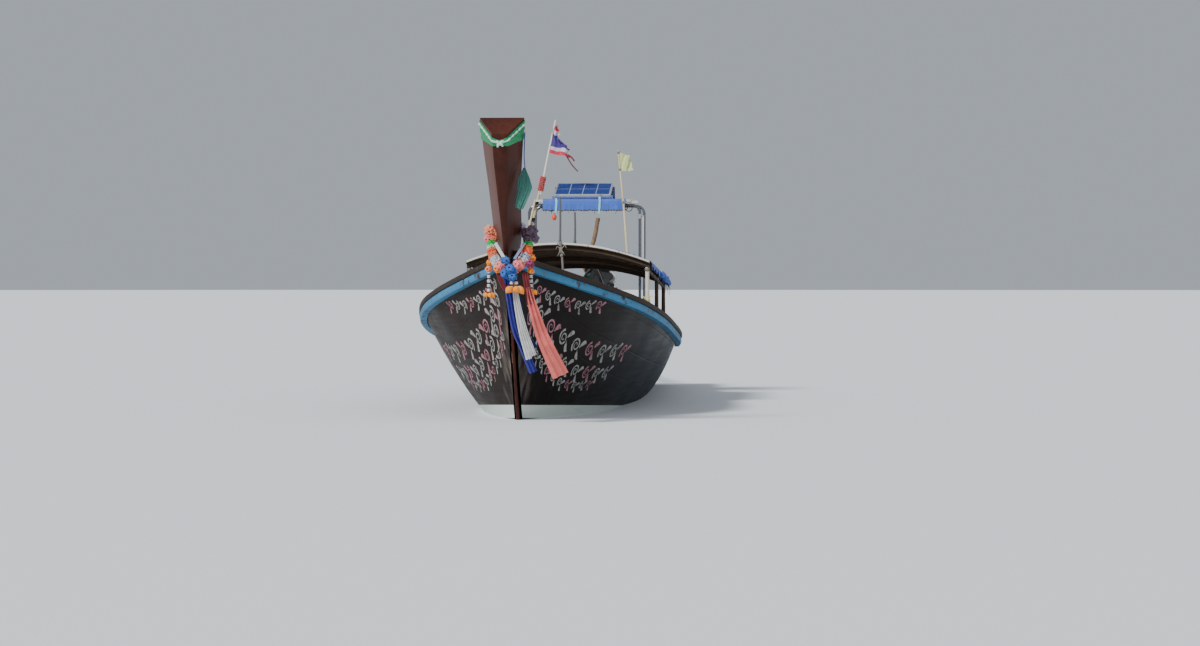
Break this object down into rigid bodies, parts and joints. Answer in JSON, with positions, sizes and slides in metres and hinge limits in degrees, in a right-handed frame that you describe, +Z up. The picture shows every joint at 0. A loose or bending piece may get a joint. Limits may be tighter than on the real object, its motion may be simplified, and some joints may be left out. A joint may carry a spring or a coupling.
{
  "type": "longtail boat",
  "caption": "Open wooden longtail boat with a tall raked stem post, low arched roof, raised stern canopy and a swivelling engine that drives a propeller on a long tail shaft.",
  "frame": {"origin": "on the centreline at the waterline, halfway between the stem's waterline entry and the transom", "axes": "+Y toward the stern, -Y toward the bow, +X to port, +Z up"},
  "size_m": [2.2918, 14.165, 3.2591],
  "materials": {
    "hull_dark": "weathered dark varnish",
    "stem_wood": "weathered varnish",
    "inner_wood": "bare worn timber",
    "deck_wood": "bare worn timber",
    "rail_blue": "worn sky blue paint",
    "roof_cream": "painted",
    "roof_frame": "dark stained timber",
    "hoop_steel": "polished tube",
    "pale_timber": "bare pale pole",
    "blue_tarp": "woven sheet",
    "panel_frame": "anodised",
    "panel_cells": "dark cells under glass",
    "flag_red": "faded cloth",
    "flag_pale": "faded cloth",
    "cloth_green": "satin ribbon",
    "cloth_teal": "thin cloth",
    "garland_flowers": "cloth flowers",
    "ribbon_blue": "satin ribbon",
    "ribbon_white": "satin ribbon",
    "ribbon_coral": "satin ribbon",
    "tassel_orange": "cloth petals on beads",
    "engine_iron": "worn engine paint",
    "frame_steel": "worn paint with rust",
    "engine_alloy": "dull cast alloy",
    "exhaust_rust": "rusty",
    "belt_black": "belt and pulleys",
    "filter_black": "black enamel",
    "propeller_brass": "worn bronze"
  },
  "bodies": {
    "hull": {"planking_port": "hull_dark", "planking_starboard": "hull_dark", "rub_rail_port": "rail_blue", "rub_rail_starboard": "rail_blue", "cap_rail_port": "hull_dark", "cap_rail_starboard": "hull_dark", "keel": "hull_dark", "stem_post": "stem_wood", "transom": "hull_dark", "frames": "inner_wood", "floorboards": "deck_wood", "foredeck": "deck_wood", "foredeck_beam": "inner_wood", "stern_deck": "deck_wood", "stern_deck_beam": "inner_wood", "thwart_1": "deck_wood", "thwart_2": "deck_wood", "thwart_3": "deck_wood", "thwart_4": "deck_wood", "mooring_bitt": "inner_wood", "low_roof": "roof_cream", "low_roof_frame": "roof_frame", "canopy_hoop_1": "hoop_steel", "canopy_hoop_2": "hoop_steel", "canopy_battens": "pale_timber", "canopy_tarp": "blue_tarp", "solar_panel_frame": "panel_frame", "solar_cells": "panel_cells", "roof_pole_1": "pale_timber", "roof_pole_2": "pale_timber", "flag_pole_striped": "pale_timber", "flag_pole_bamboo": "pale_timber", "striped_flag": "flag_red", "pale_flag": "flag_pale", "stem_band": "cloth_green", "stem_cloth": "cloth_teal", "stem_garland": "garland_flowers", "blue_ribbon": "ribbon_blue", "white_ribbon": "ribbon_white", "coral_ribbon": "ribbon_coral", "tassel_starboard": "tassel_orange", "tassel_middle": "tassel_orange", "tassel_port": "tassel_orange", "engine_beam": "inner_wood"},
    "yoke": {"swivel_yoke": "frame_steel"},
    "engine": {"engine_cradle": "frame_steel", "engine_block": "engine_iron", "valve_cover": "engine_alloy", "bell_housing": "engine_alloy", "belt_drive": "belt_black", "alternator": "engine_alloy", "exhaust_stack": "exhaust_rust", "air_cleaner": "filter_black", "tiller": "hoop_steel", "tail_tube": "frame_steel", "tail_fin": "frame_steel", "skeg": "frame_steel"},
    "propeller": {"propeller": "propeller_brass"}
  },
  "joints": [
    {"name": "steering", "type": "hinge", "parent": "hull", "child": "yoke", "pos_m": [0, 4.05, 0.7], "axis": [0, 0, 1], "range_deg": [-30, 30]},
    {"name": "tail_tilt", "type": "hinge", "parent": "yoke", "child": "engine", "pos_m": [0, 4.05, 0.85], "axis": [1, 0, 0], "range_deg": [-10, 13]},
    {"name": "propeller_spin", "type": "hinge", "parent": "engine", "child": "propeller", "pos_m": [0, 7.8761, 0.3959], "axis": [0, 0.9877, -0.1564], "continuous": true}
  ]
}
